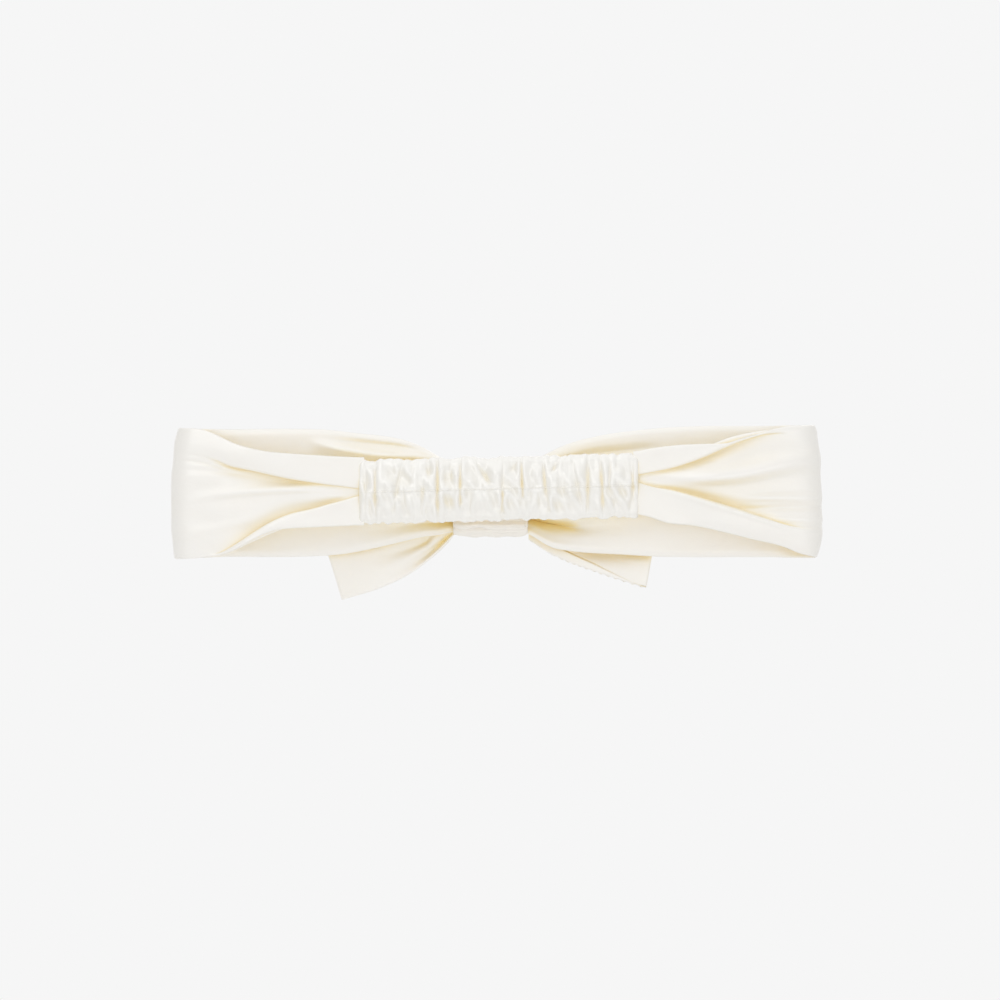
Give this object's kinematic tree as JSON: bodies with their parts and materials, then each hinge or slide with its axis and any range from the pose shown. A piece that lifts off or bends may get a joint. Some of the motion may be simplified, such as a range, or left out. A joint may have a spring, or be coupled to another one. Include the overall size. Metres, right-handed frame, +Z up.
{
  "type": "knotted headband",
  "caption": "Ivory satin headband: a wide band gathered through a front knot with short tails, joined at the back by a ruched elastic casing.",
  "frame": {"origin": "middle of the opening that the head goes through, halfway between the side folds, the front and back bands and (within 0.4 mm) the band's edges", "axes": "+X to the wearer's right along the closed band, +Y forwards to the knot, +Z up across the band's width, out of the opening"},
  "size_m": [0.24, 0.0242, 0.063],
  "materials": {
    "band_satin": "satin",
    "lining_satin": "satin",
    "knot_satin": "satin",
    "tail_satin": "satin",
    "casing_satin": "satin",
    "elastic": "matte",
    "thread": "satin"
  },
  "bodies": {
    "knot": {"front_gather_outer": "band_satin", "front_gather_lining": "lining_satin", "knot_wrap": "knot_satin", "wrap_stitches": "thread", "tail_root": "tail_satin"},
    "front_left": {"front_left_outer": "band_satin", "front_left_lining": "lining_satin", "left_fold_outer": "band_satin", "left_fold_lining": "lining_satin"},
    "back_left": {"back_left_outer": "band_satin", "back_left_lining": "lining_satin", "left_upper_flap": "band_satin", "left_lower_flap": "band_satin"},
    "tail_left": {"left_tail_outer": "tail_satin", "left_tail_lining": "tail_satin"},
    "front_right": {"front_right_outer": "band_satin", "front_right_lining": "lining_satin", "right_fold_outer": "band_satin", "right_fold_lining": "lining_satin"},
    "back_right": {"back_right_outer": "band_satin", "back_right_lining": "lining_satin", "right_upper_flap": "band_satin", "right_lower_flap": "band_satin"},
    "tail_right": {"right_tail_outer": "tail_satin", "right_tail_lining": "tail_satin"},
    "casing": {"elastic_casing": "casing_satin", "woven_elastic": "elastic", "left_seam_allowance": "casing_satin", "right_seam_allowance": "casing_satin", "left_seam_stitches": "thread", "right_seam_stitches": "thread", "casing_stitches": "thread"}
  },
  "joints": [
    {"name": "loop_open", "type": "hinge", "parent": "knot", "child": "front_left", "pos_m": [-0.051, 0.007, 0], "axis": [0, 0, 1], "range_deg": [0, 60]},
    {"name": "left_side_bend", "type": "hinge", "parent": "front_left", "child": "back_left", "pos_m": [-0.1122, 0, 0], "axis": [0, 0, -1], "range_deg": [0, 120], "deforming": ["left_fold_outer", "left_fold_lining"]},
    {"name": "left_seam_bend", "type": "hinge", "parent": "back_left", "child": "casing", "pos_m": [-0.051, -0.007, 0], "axis": [0, 0, 1], "range_deg": [0, 60]},
    {"name": "right_gather_bend", "type": "hinge", "parent": "knot", "child": "front_right", "pos_m": [0.051, 0.007, 0], "axis": [0, 0, -1], "range_deg": [0, 60]},
    {"name": "right_side_bend", "type": "hinge", "parent": "front_right", "child": "back_right", "pos_m": [0.1122, 0, 0], "axis": [0, 0, 1], "range_deg": [0, 120], "deforming": ["right_fold_outer", "right_fold_lining"]},
    {"name": "left_tail_flap", "type": "hinge", "parent": "knot", "child": "tail_left", "pos_m": [-0.0166, 0.0116, -0.012], "axis": [0, 0, -1], "range_deg": [0, 70]},
    {"name": "right_tail_flap", "type": "hinge", "parent": "knot", "child": "tail_right", "pos_m": [0.0136, 0.0116, -0.012], "axis": [0, 0, 1], "range_deg": [0, 70]}
  ],
  "couplings": [
    {"joint": "left_side_bend", "follows": "loop_open", "ratio": 2},
    {"joint": "left_seam_bend", "follows": "loop_open", "ratio": 1},
    {"joint": "right_gather_bend", "follows": "loop_open", "ratio": 1},
    {"joint": "right_side_bend", "follows": "loop_open", "ratio": 2}
  ]
}
